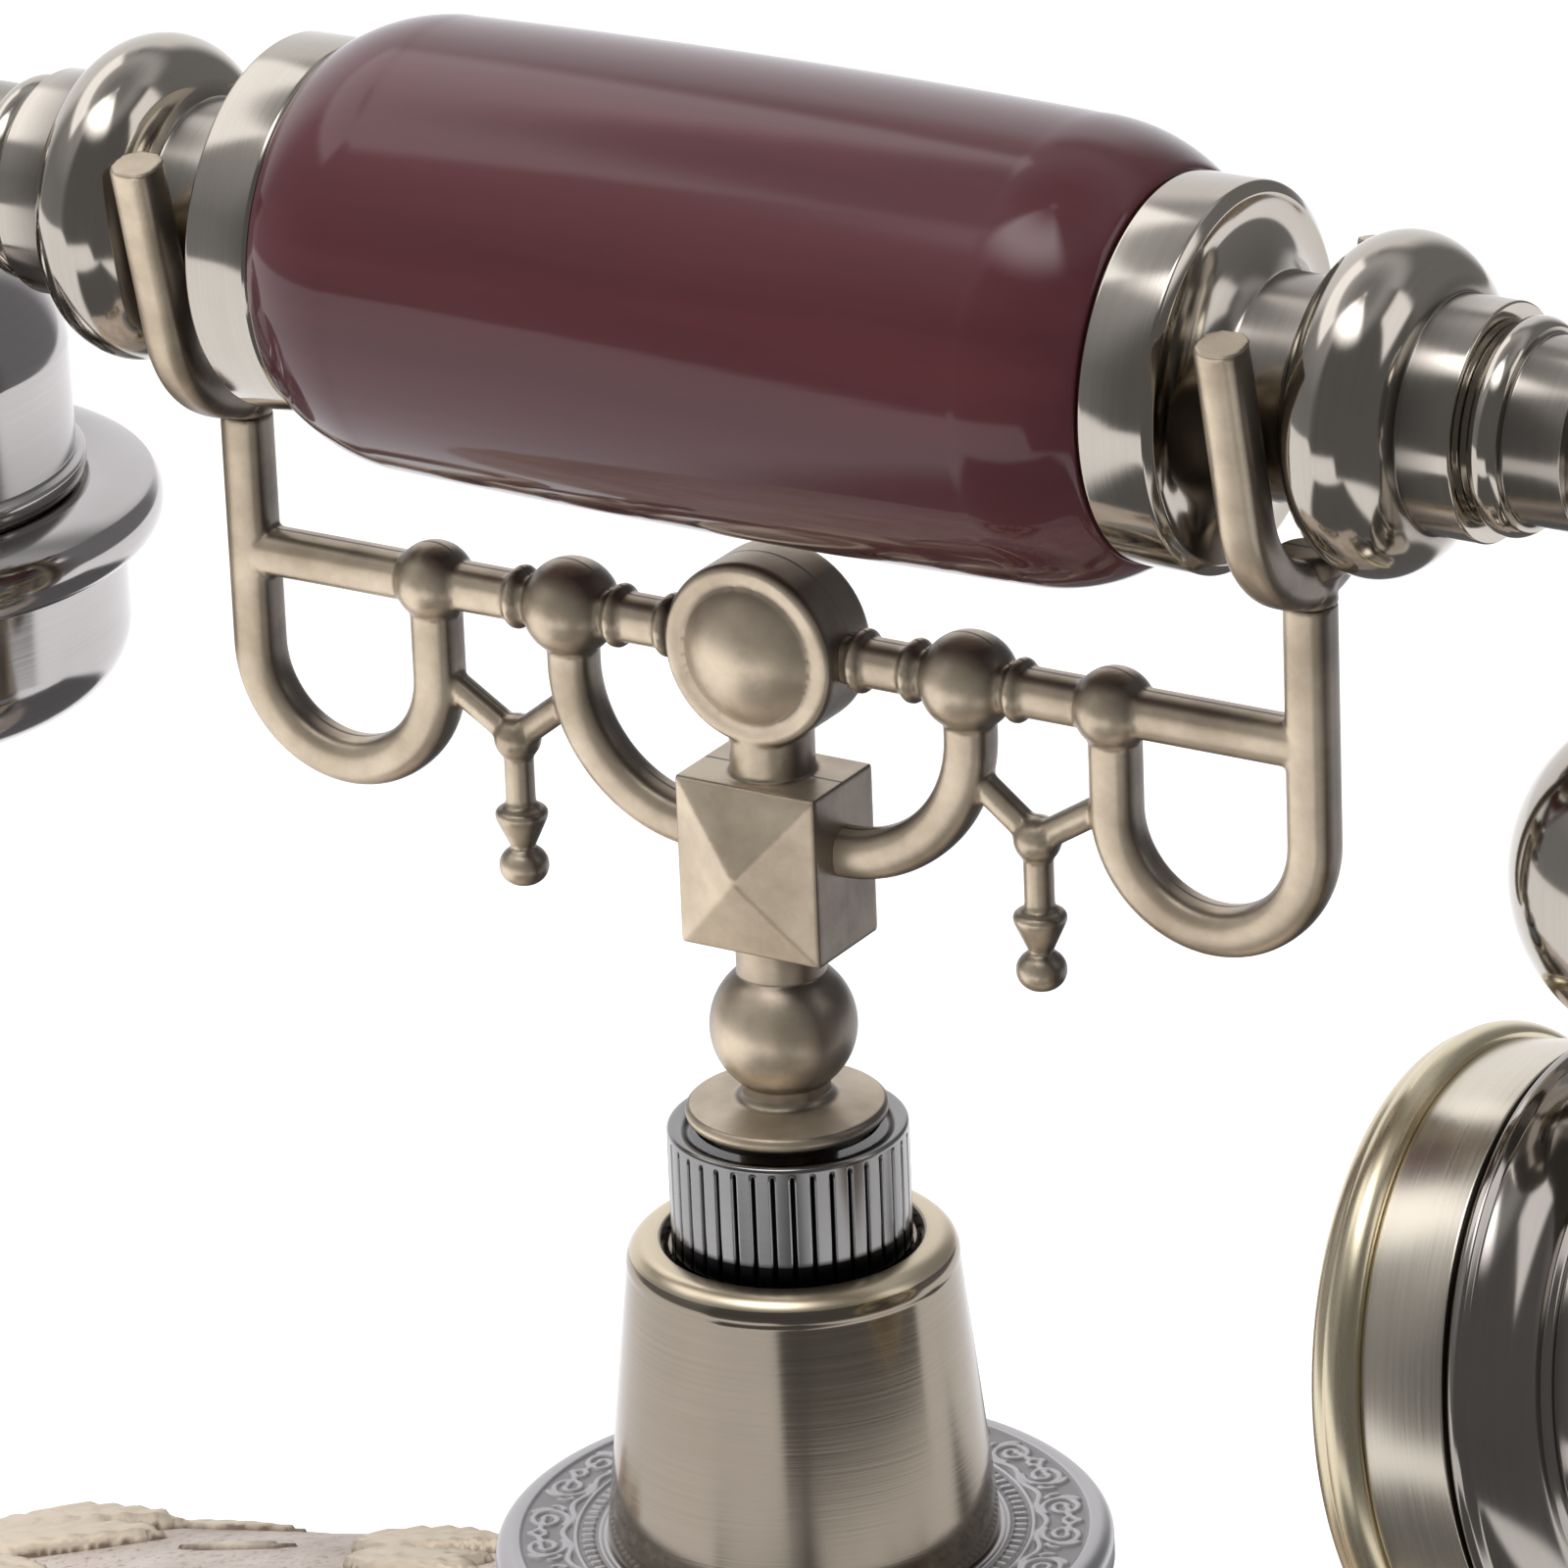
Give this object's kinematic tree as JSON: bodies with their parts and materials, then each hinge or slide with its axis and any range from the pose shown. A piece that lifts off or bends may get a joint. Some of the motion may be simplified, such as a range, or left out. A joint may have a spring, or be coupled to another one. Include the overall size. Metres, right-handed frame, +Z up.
{
  "type": "telephone",
  "caption": "Antique style desk telephone: turned handset with a lacquered grip resting in a scrolled cradle above a cast resin base with a key dial.",
  "frame": {"origin": "on the table, under the middle of the base", "axes": "+X along the handset towards the mouth end, -Y to the front with the dial, +Z up"},
  "size_m": [0.256, 0.184, 0.2736],
  "materials": {
    "resin": "cast resin, taupe brown with rubbed gold on the relief",
    "bronze": "antique bronze plate, polished and brushed",
    "cradle_bronze": "antique bronze plate, satin, darkened in the recesses",
    "gunmetal": "dark antique plate on the knurling",
    "lacquered_wood": "dark red-brown gloss lacquer",
    "steel": "plain zinc plated steel",
    "brass": "plain brass",
    "rubber": "black rubber",
    "board": "glass fibre circuit board",
    "dark_plastic": "black moulded plastic",
    "key_plastic": "ivory moulded keys",
    "winding": "enamelled copper winding"
  },
  "bodies": {
    "base": {"base_shell": "resin", "bottom_plate": "steel", "rubber_feet": "rubber", "bottom_screws": "steel", "etched_plate": "bronze", "stand_cone": "bronze", "knurled_collar": "gunmetal", "plunger_bush": "brass", "hook_spring": "steel", "hook_bracket": "steel", "hook_switch": "dark_plastic", "dial_bezel": "bronze", "key_plate": "bronze", "dial_medallion": "bronze", "key_mat": "rubber", "keypad_board": "board", "main_board": "board", "board_standoffs": "brass", "line_transformer": "steel", "bell_gongs": "brass", "gong_posts": "steel", "ringer_bracket": "steel", "ringer_coil": "winding", "rear_jacks": "dark_plastic"},
    "cradle": {"cradle_stem": "cradle_bronze", "cradle_hub": "cradle_bronze", "cradle_arm_ear": "cradle_bronze", "cradle_arm_mouth": "cradle_bronze", "fork_ear": "cradle_bronze", "fork_mouth": "cradle_bronze"},
    "handset": {"grip": "lacquered_wood", "tie_tube": "steel", "ferrule_ear": "bronze", "ferrule_mouth": "bronze", "arm_ear": "bronze", "arm_mouth": "bronze", "ear_cup": "bronze", "ear_rim": "bronze", "ear_cap": "bronze", "receiver": "dark_plastic", "mouth_cup": "bronze", "mouth_rim": "bronze", "mouth_grille": "bronze", "microphone": "dark_plastic", "handset_socket": "dark_plastic"},
    "hook_lever": {"hook_lever": "steel"},
    "bell_hammer": {"bell_hammer": "steel"},
    "key_1": {"key_1": "key_plastic"},
    "key_2": {"key_2": "key_plastic"},
    "key_3": {"key_3": "key_plastic"},
    "key_4": {"key_4": "key_plastic"},
    "key_5": {"key_5": "key_plastic"},
    "key_6": {"key_6": "key_plastic"},
    "key_7": {"key_7": "key_plastic"},
    "key_8": {"key_8": "key_plastic"},
    "key_9": {"key_9": "key_plastic"},
    "key_10": {"key_10": "key_plastic"},
    "key_11": {"key_11": "key_plastic"},
    "key_12": {"key_12": "key_plastic"}
  },
  "joints": [
    {"name": "cradle_lift", "type": "slide", "parent": "base", "child": "cradle", "axis": [0, 0, 1], "range_m": [0, 0.004], "stiffness_N_per_m": 500, "springref_m": 0.008, "deforming": ["hook_spring"]},
    {"name": "handset_lift", "type": "slide", "parent": "cradle", "child": "handset", "axis": [0, 0, 1], "range_m": [0, 0.12]},
    {"name": "hook_lever_turn", "type": "hinge", "parent": "base", "child": "hook_lever", "pos_m": [0.028, 0, 0.1012], "axis": [0, 1, 0], "range_deg": [0, 7.21]},
    {"name": "bell_hammer_swing", "type": "hinge", "parent": "base", "child": "bell_hammer", "pos_m": [0, 0.048, 0.018], "axis": [0, 0, 1], "range_deg": [-9, 9], "stiffness_Nm_per_rad": 0.02},
    {"name": "key_1_press", "type": "slide", "parent": "base", "child": "key_1", "axis": [0, 0.8572, -0.515], "range_m": [0, 0.0015], "stiffness_N_per_m": 400},
    {"name": "key_2_press", "type": "slide", "parent": "base", "child": "key_2", "axis": [0, 0.8572, -0.515], "range_m": [0, 0.0015], "stiffness_N_per_m": 400},
    {"name": "key_3_press", "type": "slide", "parent": "base", "child": "key_3", "axis": [0, 0.8572, -0.515], "range_m": [0, 0.0015], "stiffness_N_per_m": 400},
    {"name": "key_4_press", "type": "slide", "parent": "base", "child": "key_4", "axis": [0, 0.8572, -0.515], "range_m": [0, 0.0015], "stiffness_N_per_m": 400},
    {"name": "key_5_press", "type": "slide", "parent": "base", "child": "key_5", "axis": [0, 0.8572, -0.515], "range_m": [0, 0.0015], "stiffness_N_per_m": 400},
    {"name": "key_6_press", "type": "slide", "parent": "base", "child": "key_6", "axis": [0, 0.8572, -0.515], "range_m": [0, 0.0015], "stiffness_N_per_m": 400},
    {"name": "key_7_press", "type": "slide", "parent": "base", "child": "key_7", "axis": [0, 0.8572, -0.515], "range_m": [0, 0.0015], "stiffness_N_per_m": 400},
    {"name": "key_8_press", "type": "slide", "parent": "base", "child": "key_8", "axis": [0, 0.8572, -0.515], "range_m": [0, 0.0015], "stiffness_N_per_m": 400},
    {"name": "key_9_press", "type": "slide", "parent": "base", "child": "key_9", "axis": [0, 0.8572, -0.515], "range_m": [0, 0.0015], "stiffness_N_per_m": 400},
    {"name": "key_10_press", "type": "slide", "parent": "base", "child": "key_10", "axis": [0, 0.8572, -0.515], "range_m": [0, 0.0015], "stiffness_N_per_m": 400},
    {"name": "key_11_press", "type": "slide", "parent": "base", "child": "key_11", "axis": [0, 0.8572, -0.515], "range_m": [0, 0.0015], "stiffness_N_per_m": 400},
    {"name": "key_12_press", "type": "slide", "parent": "base", "child": "key_12", "axis": [0, 0.8572, -0.515], "range_m": [0, 0.0015], "stiffness_N_per_m": 400}
  ],
  "couplings": [
    {"joint": "hook_lever_turn", "follows": "cradle_lift", "rad_per_m": 31.25}
  ]
}
